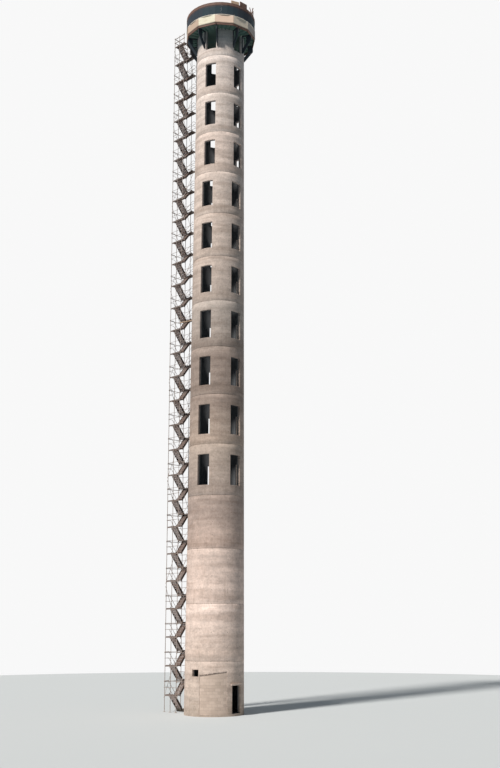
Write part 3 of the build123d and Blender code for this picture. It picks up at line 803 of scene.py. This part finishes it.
@dataclass
class ShaftShell:
    """The hollow concrete shaft, cast in lifts, with its windows, door and vent.

    The wall is one grid in azimuth and height. Cells that fall in an opening are
    left out, and the edges round them are joined through the wall by reveals.
    The foot's openings are each given by the azimuths of their sides and by
    heights: the door's head, the closed opening's head at its left and at its
    right, and the vent's sill and head.
    """

    mesher: Mesher
    base: float = 0.080
    columns: int = 5
    front_columns: int = 2
    rows: int = 11
    first_azimuth: float = -26.7
    half_angle: float = 13.45
    sill: float = 8.250
    window: float = 1.200
    back_drop: float = 0.190
    turn_from: float = 21.460
    turn_to: float = 21.940
    upper_turn: float = 4.4
    door: tuple[float, float, float] = (38.5, 63.0, 1.030)
    infill: tuple[float, float, float, float] = (-26.5, 26.6, 1.355, 1.490)
    vent: tuple[float, float, float, float] = (-45.6, -30.0, 1.330, 1.565)
    slant_reach: float = 60.0
    slant_rise: float = 0.030
    slant_clear: float = 0.012
    row_clear: float = 0.010
    chamfer: float = 0.007
    joint_depth: float = 0.003
    joint_half: float = 0.006
    ripple: float = 0.0010
    ripples: int = 5
    ripple_shift: float = 2.1
    ripple_rise: float = 3.1
    lift_step: float = 0.0020
    lift_share: float = 0.618
    tolerance: float = 1e-4
    turn_gap: float = 3.6
    shaft_gap: float = 0.26
    foot_gap: float = 0.16

    def _azimuths(self, edges: Sequence[float]) -> tuple[np.ndarray, np.ndarray]:
        """Return one turn of azimuths in degrees.

        Every edge has a line of its own and one beside it on each side, as far
        off as the chamfer is wide. The gaps between them are cut evenly.

        Args:
            edges: azimuths that openings start or end at.

        Returns:
            Rising azimuths over one turn, without the repeat, and the middle after each.
        """
        marks = np.array(flanked(edges, math.degrees(self.chamfer / SHAFT_RADIUS)))
        marks = np.unique(np.round(wrapped(marks), 5))
        line = evenly(np.append(marks, marks[0] + 360.0), self.turn_gap)
        return line, line + np.diff(line, append=line[0] + 360.0) / 2

    @staticmethod
    def _heights(marks: Sequence[float], low: float, high: float,
                 gap: float) -> tuple[np.ndarray, np.ndarray]:
        """Cut a height evenly between marks.

        Args:
            marks: heights that need a line.
            low: the lowest height.
            high: the highest height.
            gap: the widest cut.

        Returns:
            Rising heights, and the middles between them.
        """
        inside = sorted({round(mark, 5) for mark in marks if low < mark < high} | {low, high})
        line = np.append(evenly(inside, gap), high)
        return line, (line[:-1] + line[1:]) / 2

    def _turn(self, heights: np.ndarray) -> np.ndarray:
        """Return how far the windows' grid is turned at each height, in degrees.

        The turn rises smoothly from nothing to its full value between the heads
        of one row of windows and the sills of the next.
        """
        share = np.clip((heights - self.turn_from) / (self.turn_to - self.turn_from), 0.0, 1.0)
        return self.upper_turn * share * share * (3.0 - 2.0 * share)

    def _surface(self, name: str, azimuth: np.ndarray, height: np.ndarray,
                 openings: Sequence[tuple[np.ndarray, np.ndarray]], nodes: Sequence[str]) -> None:
        """Make a closed wall from a grid of azimuths and heights.

        A corner that touches both a solid and an open cell is drawn in by the
        chamfer. The outer radius falls by the joint's depth on the joint lines,
        and by a step for each lift, which goes by the fraction of a share times
        the lift's number. It waves by the sine of the height times the sine of
        the azimuth, several waves to the turn, which shift from lift to lift.

        Args:
            name: the piece's name.
            azimuth: azimuths in degrees, by row and column.
            height: heights, by row and column.
            openings: the rows and the columns of cells that each opening takes.
            nodes: the CAD nodes that it stands for.
        """
        azimuth, height = np.broadcast_arrays(azimuth, height)
        rows, count = azimuth.shape
        solid = np.ones((rows - 1, count), bool)
        for across, along in openings:
            solid[np.ix_(across, along)] = False
        padded = np.pad(solid, ((1, 1), (0, 0)))
        beside = np.roll(padded, 1, 1)
        touched = np.stack([padded[1:], padded[:-1], beside[1:], beside[:-1]])
        edge = touched.any(0) & ~touched.all(0)
        edge[[0, -1]] = False
        over = (height - FIRST_JOINT) / LIFT
        lift = np.floor(over + self.tolerance)
        joint = np.abs(height - FIRST_JOINT - LIFT * np.round(over)) < self.tolerance
        angle = np.radians(azimuth)
        wave = np.sin(self.ripples * angle + self.ripple_shift * lift) * np.sin(self.ripple_rise * height)
        wave = self.ripple * (1 + wave)
        offset = self.lift_step * np.mod(lift * self.lift_share, 1.0)
        outer = SHAFT_RADIUS - wave - offset - joint * self.joint_depth - edge * self.chamfer
        inner = SHAFT_RADIUS - WALL + edge * self.chamfer
        points = np.concatenate([np.stack([radius * np.sin(angle), -radius * np.cos(angle), height], axis=-1)
                                 for radius in (outer, inner)]).reshape(-1, 3)
        number = np.arange(rows * count).reshape(rows, count)
        after = np.roll(number, -1, 1)
        a, b, c, d = number[:-1], after[:-1], after[1:], number[1:]
        e, f, g, h = (corner + rows * count for corner in (a, b, c, d))
        sides = (((a, b, c, d), solid), ((h, g, f, e), solid),
                 ((d, h, e, a), solid & ~np.roll(solid, 1, 1)),
                 ((b, f, g, c), solid & ~np.roll(solid, -1, 1)),
                 ((a, e, f, b), solid & ~padded[:-2]), ((c, g, h, d), solid & ~padded[2:]))
        faces = np.concatenate([np.stack(corners, axis=-1)[drawn] for corners, drawn in sides])
        self.mesher.piece(name, (points, faces), Slot.CONCRETE, Quality.CREASED, nodes)

    def _windows(self, drop: float) -> list[Pair]:
        """Return the sill and head of each window of a column."""
        sills = [self.sill - drop + row * LIFT for row in range(self.rows)]
        return list(zip(sills, [sill + self.window for sill in sills[:-1]] + [SOFFIT]))

    def build_shaft(self) -> None:
        """Make the windowed shaft, from the foot up to the deck."""
        middles = [self.first_azimuth + 360.0 / self.columns * number for number in range(self.columns)]
        edges = [middle + side for middle in middles for side in (-self.half_angle, self.half_angle)]
        line, centre = self._azimuths(edges)
        marks = flanked(np.arange(FIRST_JOINT, SOFFIT, LIFT), self.joint_half)
        for drop in (0.0, self.back_drop):
            marks += flanked([mark for window in self._windows(drop) for mark in window], self.chamfer)
        whole, level = self._heights(marks, FIRST_JOINT, SOFFIT, self.shaft_gap)
        openings = [((level > low) & (level < high), np.abs(wrapped(centre - middle)) < self.half_angle)
                    for number, middle in enumerate(middles)
                    for low, high in self._windows(self.back_drop * (number >= self.front_columns))]
        nodes = [f"shaft_{kind}_{n + 1}" for kind in ("pier", "spandrels") for n in range(self.columns)]
        azimuth = line + self._turn(whole)[:, None]
        self._surface("shaft_shell", azimuth, whole[:, None], openings, nodes)

    def build_foot(self) -> None:
        """Make the lowest lift, with the door, the vent and the closed access opening.

        The closed opening's head slants, so one row of the grid follows it and
        the rows over that one keep clear of it.
        """
        line, centre = self._azimuths([*self.door[:2], *self.infill[:2], *self.vent[:2]])
        low_head, high_head = self.infill[2:]
        slant = low_head + self.slant_rise
        marks = [*flanked([*self.door[2:], *self.vent[2:]], self.chamfer), slant]
        flat, level = self._heights(marks, self.base, FIRST_JOINT, self.foot_gap)
        row = int(np.argmin(np.abs(flat - slant)))
        first, last = np.sin(np.radians(self.infill[:2]))
        share = np.clip((np.sin(np.radians(line)) - first) / (last - first), 0.0, 1.0)
        near = np.abs(wrapped(line)) < self.slant_reach
        head = np.where(near, low_head + share * (high_head - low_head), flat[row])
        over = np.arange(len(flat))[:, None] - row - 1
        clear = head + self.slant_clear + self.row_clear * over
        height = np.where(over < 0, flat[:, None], np.maximum(flat[:, None], clear))
        height[row] = head
        height[-1] = FIRST_JOINT
        opened = ((self.door, level < self.door[2]), (self.infill, np.arange(len(level)) < row),
                  (self.vent, (level > self.vent[2]) & (level < self.vent[3])))
        openings = [(rows, (centre > sides[0]) & (centre < sides[1])) for sides, rows in opened]
        nodes = ["foot_wall_vent", "foot_wall_over_access", "foot_wall_by_door", "door_lintel",
                 "foot_wall_right", "foot_wall_back", "foot_wall_left"]
        self._surface("shaft_shell_foot", line, height, openings, nodes)

    def build(self) -> None:
        """Build the whole shaft."""
        self.build_foot()
        self.build_shaft()


@dataclass
class StairTower:
    """The scaffold stair's tubes, guard rails, braces, couplers and riser plates.

    They are laid out upright, with x along the flights, y across them from the
    far uprights at 0 to the near ones at minus the width, and z up. A lane of
    flights keeps two margins, from the uprights and from the middle. A coupler
    is given by its radius and half its height.
    """

    mesher: Mesher
    turn: float = 45.0
    length: float = STAIR_LENGTH
    width: float = STAIR_WIDTH
    landing: float = 0.212
    rise: float = 1.040
    turns: int = 29
    treads: int = 4
    first_level: float = 0.090
    guard: float = 0.500
    tube: float = 0.012
    rail: float = 0.008
    rail_out: float = 0.022
    end_rails: Pair = (0.25, 0.48)
    hand_rails: Pair = (0.24, 0.46)
    brace_out: float = 0.046
    brace_foot: float = 0.4
    brace_short: float = 0.1
    plate: float = 0.0103
    deck: float = 0.034
    riser_plate: Pair = (0.084, 0.004)
    riser_back: float = 0.006
    top_riser: Pair = (0.012, 0.008)
    lane_margins: Pair = (0.026, 0.019)
    coupler: Pair = (0.021, 0.019)
    plank: Pair = (0.060, 0.022)
    plank_ends: tuple[Point, Point] = ((-1.672, 0.640, 15.385), (-1.066, 0.330, 15.410))

    @property
    def inner(self) -> np.ndarray:
        """The heights of the inner landings."""
        return self.first_level + np.arange(self.turns) * self.rise

    @property
    def outer(self) -> np.ndarray:
        """The heights of the outer landings."""
        return self.inner + self.rise / 2

    @property
    def ledgers(self) -> np.ndarray:
        """The heights of the bars that carry the landings' cross bars."""
        return self.inner[1:] - self.deck - 3 * self.tube

    def world(self, points: np.ndarray) -> np.ndarray:
        """Move rows of points from the upright layout to the tower.

        The layout is turned about Z, leant about Y and set at its foot.

        Args:
            points: rows in the layout.

        Returns:
            Rows on the frame.
        """
        a, b = math.radians(self.turn), math.radians(-STAIR_LEAN)
        about_z = np.array([[math.cos(a), -math.sin(a), 0], [math.sin(a), math.cos(a), 0], [0, 0, 1]])
        about_y = np.array([[math.cos(b), 0, math.sin(b)], [0, 1, 0], [-math.sin(b), 0, math.cos(b)]])
        return points @ (about_y @ about_z).T + (*STAIR_FOOT, 0.0)

    def _sides(self, out: float) -> Pair:
        """Return y a distance outside the far uprights and outside the near ones."""
        return out, -self.width - out

    @staticmethod
    def _ends(runs: Sequence[Any]) -> list[np.ndarray]:
        """Lay out the ends of many bars.

        Args:
            runs: pairs of a first and a last point, each as x, y and z in
                numbers or in arrays that are broadcast together.

        Returns:
            Rows of first points and rows of last points.
        """
        return [np.concatenate([np.stack([part.ravel() for part in np.broadcast_arrays(*end)], axis=1)
                                for end in ends]) for ends in zip(*runs)]

    def _bars(self, name: str, radius: float, runs: Sequence[Any], nodes: Sequence[str] = ()) -> None:
        """Make one piece of round bars between layout points, in place of CAD nodes if any."""
        shape = tubes(*(self.world(ends) for ends in self._ends(runs)), radius)
        self.mesher.piece(name, shape, Slot.TUBE, Quality.CREASED, nodes)

    def build_standards(self) -> None:
        """Make the six round uprights."""
        x = np.repeat([0.0, self.length], 3)
        y = np.tile([0.0, -self.width / 2, -self.width], 2)
        top = self.outer[-1] + self.guard
        self._bars("stair_uprights", self.tube, [((x, y, self.plate), (x, y, top))], ["stair_standards"])

    def build_ledgers(self) -> None:
        """Make the round bars outside the uprights under each inner landing."""
        y, z = np.meshgrid(self._sides(2 * self.tube), self.ledgers)
        self._bars("stair_ledger_tubes", self.tube, [((-self.tube, y, z), (self.length + self.tube, y, z))],
                   ["stair_ledgers_far", "stair_ledgers_near"])

    def build_transoms(self) -> None:
        """Make the round cross bars that the landings lie on."""
        x = np.repeat([2 * self.tube, self.length - 2 * self.tube], [self.turns, self.turns - 1])
        z = np.concatenate([self.outer, self.inner[1:]]) - self.deck - self.tube
        far, near = self._sides(3 * self.tube)
        self._bars("stair_cross_tubes", self.tube, [((x, near, z), (x, far, z))], ["stair_transoms"])

    def build_end_rails(self) -> None:
        """Make the two guard rails at each landing's end and along its sides."""
        far, near = self._sides(self.tube)
        runs = []
        for levels, end, post, edge in (
                (self.outer[:-1], -self.rail_out, 0.0, self.landing),
                (self.inner[1:], self.length + self.rail_out, self.length, self.length - self.landing)):
            z = levels[:, None] + self.end_rails
            runs.append(((end, near, z), (end, far, z)))
            runs += [((post, y, z), (edge, y, z)) for y in self._sides(self.rail_out)]
        self._bars("stair_end_rails", self.rail, runs)

    def build_hand_rails(self) -> None:
        """Make the sloping hand rails beside the flights.

        Each rail runs at two heights over the line of its flight's stringers.
        """
        right, left = self.length - self.landing, self.landing
        far, near = self._sides(self.rail_out)
        runs = []
        for up in self.hand_rails:
            runs.append(((right, far, self.inner + up), (left, far, self.outer + up)))
            runs.append(((left, near, self.outer[:-1] + up), (right, near, self.inner[1:] + up)))
        self._bars("stair_hand_rails", self.rail, runs)

    def build_braces(self) -> None:
        """Make the long diagonal braces, two turns high, zigzag up both sides."""
        number = np.arange((self.turns - 1) // 2)
        low = self.first_level + self.brace_foot + number * 2 * self.rise
        high = low + 2 * self.rise - self.brace_short
        x = number % 2 * self.length
        runs = [((x, y, low), (self.length - x, y, high)) for y in self._sides(self.brace_out)]
        self._bars("stair_braces", self.rail, runs)

    def build_couplers(self) -> None:
        """Make the couplers that hold the ledgers to the uprights."""
        radius, half = self.coupler
        x, y, z = np.meshgrid([0.0, self.length], self._sides(self.tube), self.ledgers)
        self._bars("stair_couplers", radius, [((x, y, z - half), (x, y, z + half))])

    def build_risers(self) -> None:
        """Make the plates that close the flights under each tread's nosing.

        The far lane's flights climb from the inner landings, the near lane's
        from the outer ones, each in steps as long as a tread and as high as a
        riser. The topmost plate stands back under the landing and lower.
        """
        back, down = self.top_riser
        steps = np.arange(self.treads + 1)
        top = steps == self.treads
        going = (self.length - 2 * self.landing) / self.treads
        riser = self.rise / 2 / len(steps)
        rim, gap = self.lane_margins
        half = -self.width / 2
        runs = []
        for levels, way, start, low, high in (
                (self.inner, -1.0, self.length - self.landing, half + gap, -rim),
                (self.outer[:-1], 1.0, self.landing, rim - self.width, half - gap)):
            x = start + way * (steps * going + self.riser_back - back * top)
            z = levels[:, None] + steps * riser + self.riser_plate[0] / 2 - down * top
            runs.append(((x, low, z), (x, high, z)))
        points, faces = boards(*self._ends(runs), (1.0, 0.0, 0.0), self.riser_plate)
        self.mesher.piece("stair_risers", (self.world(points), faces), Slot.PLANK)

    def build_loose_plank(self) -> None:
        """Make the pale plank that lies between the stair and the shaft, halfway up."""
        first, last = np.array(self.plank_ends)[:, None]
        self.mesher.piece("stair_loose_plank", boards(first, last, UP, self.plank), Slot.TAN)

    def build(self) -> None:
        """Build every piece of the stair tower."""
        self.build_standards()
        self.build_ledgers()
        self.build_transoms()
        self.build_end_rails()
        self.build_hand_rails()
        self.build_braces()
        self.build_couplers()
        self.build_risers()
        self.build_loose_plank()


@dataclass
class HeadWork:
    """The timber on the head that the forms are held with.

    Each board's size is its width and its thickness. Margins are kept at its
    two ends.
    """

    mesher: Mesher
    sides: int = 12
    panels: int = 36
    apothem: float = 1.615
    drum_corner: float = 1.648
    skin: float = 0.030
    deck_top: float = 29.705
    drum_low: float = 29.745
    drum_top: float = 30.378
    rim: float = 0.031
    pier_middle: float = 13.7
    piers: int = 5
    bracket_offset: float = 19.5
    bracket_half: float = 0.018
    seat: float = 0.0008
    gap: float = 0.0005
    top_board: Pair = (0.112, 0.007)
    stud: Pair = (0.060, 0.024)
    stud_margins: Pair = (0.002, 0.050)
    waler: Pair = (0.070, 0.034)
    waler_heights: Pair = (29.93, 30.23)
    plank: Pair = (0.110, 0.012)
    planks: int = 25
    plank_pitch: float = 0.116
    plank_reach: float = 1.49
    beam: Pair = (0.088, 0.034)
    beam_in: float = 0.030
    joist: Pair = (0.030, 0.046)
    joists: int = 40
    joist_start: float = 4.0
    joist_margins: Pair = (0.012, 0.062)
    bracket_clear: float = 3.2
    slat: Pair = (0.040, 0.014)
    slat_radius: float = 1.628
    slat_feet: Pair = (65.6, 66.6)
    slat_heads: tuple[Point, Point] = ((1.400, -0.664, 30.775), (1.568, -0.650, 30.765))

    @property
    def step(self) -> float:
        """The angle that one panel of the drum takes, in degrees."""
        return 360.0 / self.panels

    @property
    def drum_flat(self) -> float:
        """The distance from the axis to the middle of a panel's outer face."""
        return self.drum_corner * math.cos(math.radians(self.step / 2))

    @staticmethod
    def _at(azimuth: Any, radius: Any, height: Any) -> np.ndarray:
        """Return points from azimuths in degrees, radii and heights."""
        angle = np.radians(azimuth)
        return np.stack(np.broadcast_arrays(radius * np.sin(angle), -radius * np.cos(angle), height), axis=1)

    def _ring(self, name: str, apothem: float, height: float, size: Pair, slot: Slot) -> None:
        """Make a ring of boards on edge, one to a panel.

        Args:
            name: the piece's name.
            apothem: the distance from the axis to the boards' middles.
            height: the height of their middles.
            size: their width and thickness.
            slot: the record's slot.
        """
        first = FIRST_VERTEX + np.arange(self.panels) * self.step
        corner = apothem / math.cos(math.radians(self.step / 2))
        ends = (self._at(first, corner, height), self._at(first + self.step, corner, height))
        self.mesher.piece(name, boards(*ends, self._at(first + self.step / 2, 1.0, 0.0), size), slot)

    def build_top_boards(self) -> None:
        """Make the boards round the drum's outside, right under the rim."""
        wide, deep = self.top_board
        height = self.drum_top - 2 * self.gap - wide / 2
        self._ring("drum_top_boards", self.drum_flat + deep / 2, height, self.top_board, Slot.RIM)

    def build_studs(self) -> None:
        """Make the studs inside the drum, one to a panel."""
        azimuth = FIRST_VERTEX + (np.arange(self.panels) + 0.5) * self.step
        radius = self.drum_flat - self.skin - self.gap - self.stud[0] / 2
        foot, head = self.stud_margins
        ends = (self._at(azimuth, radius, height) for height in (self.drum_low + foot, self.drum_top - head))
        shape = boards(*ends, self._at(azimuth + 90.0, 1.0, 0.0), self.stud)
        self.mesher.piece("drum_studs", shape, Slot.TAN)

    def build_walers(self) -> None:
        """Make the two rings of boards round the inside of the studs."""
        inside = self.drum_flat - self.skin - self.stud[0] - 2 * self.gap
        for number, height in enumerate(self.waler_heights):
            self._ring(f"drum_waler_{number + 1}", inside - self.waler[1] / 2, height, self.waler, Slot.TAN)

    def build_planks(self) -> None:
        """Make the planks laid over the deck inside the drum, cut to a circle."""
        y = (np.arange(self.planks) - self.planks // 2) * self.plank_pitch
        x = np.sqrt(self.plank_reach ** 2 - y ** 2)
        z = np.full_like(y, self.deck_top + self.gap + self.plank[1] / 2)
        ends = (np.stack([end, y, z], axis=1) for end in (-x, x))
        self.mesher.piece("deck_planks", boards(*ends, UP, self.plank), Slot.STEP)

    def build_slats(self) -> None:
        """Make the two slats that stand in a V on the rim, from one foot to two heads."""
        feet = self._at(self.slat_feet, self.slat_radius, self.drum_top + self.rim)
        shape = boards(feet, np.array(self.slat_heads), (0.0, -1.0, 0.0), self.slat)
        self.mesher.piece("rim_slats", shape, Slot.RIM)

    def _brackets(self) -> np.ndarray:
        """Return the brackets' azimuths."""
        middles = self.pier_middle + np.arange(self.piers) * 360.0 / self.piers
        return np.concatenate([middles - self.bracket_offset, middles + self.bracket_offset])

    def build_edge_beam(self) -> None:
        """Make the beam under the deck's edge, cut at each corner and bracket.

        A point at an azimuth lies on the twelve-sided line at the apothem over
        the cosine of the azimuth from its facet's middle.
        """
        apothem = self.apothem - self.beam_in
        step = 360.0 / self.sides
        marks = np.concatenate([np.arange(self.sides) * step, self._brackets() - FIRST_VERTEX])
        marks = np.mod(marks + 1e-6, 360.0)
        order = np.argsort(marks)
        marks, held = marks[order], order >= self.sides
        gap = np.degrees(self.bracket_half / apothem) * held
        low = marks + gap
        high = np.append(marks[1:], marks[0] + 360.0) - np.roll(gap, -1)
        middle = np.floor((low + high) / 2 / step) * step + step / 2
        height = SOFFIT - self.seat - self.beam[0] / 2
        ends = (self._at(edge + FIRST_VERTEX, apothem / np.cos(np.radians(edge - middle)), height)
                for edge in (low, high))
        shape = boards(*ends, self._at(middle + FIRST_VERTEX, 1.0, 0.0), self.beam)
        self.mesher.piece("deck_edge_beam", shape, Slot.RIM)

    def build_joists(self) -> None:
        """Make the short joists under the deck, from the shaft to the edge beam."""
        azimuth = np.arange(self.joists) * 360.0 / self.joists + self.joist_start
        away = np.abs(wrapped(azimuth[:, None] - self._brackets())).min(axis=1)
        azimuth = azimuth[away > self.bracket_clear]
        height = SOFFIT - self.seat - self.joist[1] / 2
        low, high = self.joist_margins
        ends = (self._at(azimuth, radius, height) for radius in (SHAFT_RADIUS + low, self.apothem - high))
        self.mesher.piece("deck_joists", boards(*ends, UP, self.joist), Slot.DECK)

    def build(self) -> None:
        """Build every piece of the head's timber."""
        self.build_top_boards()
        self.build_studs()
        self.build_walers()
        self.build_planks()
        self.build_edge_beam()
        self.build_joists()
        self.build_slats()


@dataclass
class Wardrobe:
    """Gives each CAD node the finish of its slot."""

    finishes: dict[Slot, Any]

    def dress(self) -> None:
        """Put a material on each node of the frame."""
        for row in frame["record"]["subparts"]:
            thing = frame["nodes"][row["node"]]
            thing.data.materials.clear()
            thing.data.materials.append(self.finishes[Slot(row["material_slot"])])
            LOG.info("%s dressed as %s", row["node"], row["material_slot"])


@dataclass
class Studio:
    """Floor, lights, backdrop and the camera at the photograph's view."""

    distance: float = 40.137
    aside: float = 1.390
    eye: float = 3.266
    pitch: float = 21.298
    roll: float = -0.1414
    sensor: float = 36.0
    focal_px: float = 970.54
    frame_px: float = 768.0
    centre_px: float = 242.0
    floor_radius: float = 32.0
    floor_corners: int = 128
    key_energy: float = 4.4
    key_colour: Colour = (1.0, 0.965, 0.91)
    key_spread: float = 6.0
    key_turn: Pair = (40.0, -40.0)
    sky: Colour = (0.64, 0.84, 1.0)
    sky_strength: float = 0.16
    backdrop: Colour = (0.94, 0.94, 0.94)

    @staticmethod
    def _place(thing: Any) -> Any:
        """Put an object in the scene and return it."""
        bpy.context.scene.collection.objects.link(thing)
        return thing

    def build_camera(self) -> None:
        """Place the camera where the photographer stood."""
        data = bpy.data.cameras.new("portrait")
        data.sensor_fit = "AUTO"
        data.sensor_width = self.sensor
        data.lens = self.focal_px / self.frame_px * self.sensor
        data.shift_y = (self.centre_px - self.frame_px / 2) / self.frame_px
        data.clip_end = 2000.0
        camera = self._place(bpy.data.objects.new("portrait", data))
        camera.location = (self.aside, -self.distance, self.eye)
        turn = Matrix.Rotation(math.radians(90 + self.pitch), 4, "X")
        camera.rotation_euler = (turn @ Matrix.Rotation(math.radians(self.roll), 4, "Z")).to_euler()
        bpy.context.scene.camera = camera

    def build_floor(self) -> None:
        """Make the pale round floor."""
        angle = np.arange(self.floor_corners) * 2 * np.pi / self.floor_corners
        corners = self.floor_radius * np.stack([np.cos(angle), np.sin(angle), 0 * angle], axis=1)
        mesh = bpy.data.meshes.new("floor")
        mesh.from_pydata(corners.tolist(), [], [tuple(range(self.floor_corners))])
        mesh.materials.append(GroundFinish().build())
        floor = self._place(bpy.data.objects.new("floor", mesh))

    def build_light(self) -> None:
        """Light the tower from the left front, with a soft sky that the camera sees as pale."""
        sun = bpy.data.lights.new("key", "SUN")
        sun.energy = self.key_energy
        sun.angle = math.radians(self.key_spread)
        sun.color = self.key_colour
        lamp = self._place(bpy.data.objects.new("key", sun))
        tilt, turn = (math.radians(angle) for angle in self.key_turn)
        lamp.rotation_euler = (tilt, 0.0, turn)
        world = bpy.data.worlds.new("studio")
        world.use_nodes = True
        nodes = Nodes(world.node_tree)
        rays = nodes.named("ShaderNodeLightPath")
        seen = rays["Is Camera Ray"].maximum(rays["Is Glossy Ray"]).maximum(rays["Is Transmission Ray"])
        soft, pale = (nodes.node("ShaderNodeBackground", {}, {"Color": colour, "Strength": strength})[0]
                      for colour, strength in ((self.sky, self.sky_strength), (self.backdrop, 1.0)))
        join = nodes.node("ShaderNodeMixShader", {}, {0: seen, 1: soft, 2: pale})[0]
        nodes.node("ShaderNodeOutputWorld", {}, {"Surface": join})
        bpy.context.scene.world = world

    def build(self) -> None:
        """Build the whole studio."""
        self.build_camera()
        self.build_floor()
        self.build_light()
        bpy.context.scene.view_settings.view_transform = "Standard"


def finishes() -> dict[Slot, Any]:
    """Make the tower's materials.

    Returns:
        One material for each slot.
    """
    looks = {
        Slot.CONCRETE: ConcreteFinish(),
        Slot.INFILL: BlockFinish(),
        Slot.DECK: FilmFinish("deck_film", (0.092, 0.185, 0.165), (0.130, 0.185, 0.150), (0.22, 0.27, 0.24),
                              panels=24.0, rusty_from=40.0),
        Slot.EDGE: EdgeFinish("edge_timber", (0.90, 0.84, 0.74), (0.56, 0.38, 0.24), 0.25),
        Slot.DRUM: FilmFinish("drum_film"),
        Slot.RIM: BoardFinish("rim_board_timber", (0.17, 0.085, 0.060), (0.070, 0.042, 0.034), 0.5),
        Slot.TAN: BoardFinish("offcut_timber", (0.62, 0.44, 0.30), (0.36, 0.24, 0.16)),
        Slot.BRACKET: RustFinish("bracket_paint", (0.026, 0.038, 0.050), (0.050, 0.036, 0.034),
                                 (0.014, 0.018, 0.022), 5.0, 0.3),
        Slot.PLANK: StairFinish("rusty_plank", (0.70, 0.60, 0.56), (0.54, 0.41, 0.36), (0.44, 0.35, 0.31),
                                6.0, 0.5, landing_shade=0.84, front_lane_shade=0.70),
        Slot.STEP: BoardFinish("step_timber", (0.42, 0.34, 0.26), (0.22, 0.17, 0.12), 0.5, straight=True),
        Slot.TUBE: StairFinish("rusty_tube", (0.46, 0.40, 0.37), (0.32, 0.23, 0.18), (0.20, 0.16, 0.14),
                               9.0, 0.4, flight_shade=0.88, landing_shade=0.3),
    }
    return {slot: look.build() for slot, look in looks.items()}


def main() -> None:
    """Build the dressed tower, piece by piece."""
    logging.basicConfig(level=logging.INFO, format="%(name)s %(message)s")
    made = finishes()
    Wardrobe(made).dress()
    mesher = Mesher(made)
    ShaftShell(mesher).build()
    StairTower(mesher).build()
    HeadWork(mesher).build()
    Studio().build()


if __name__ == "__main__":
    main()
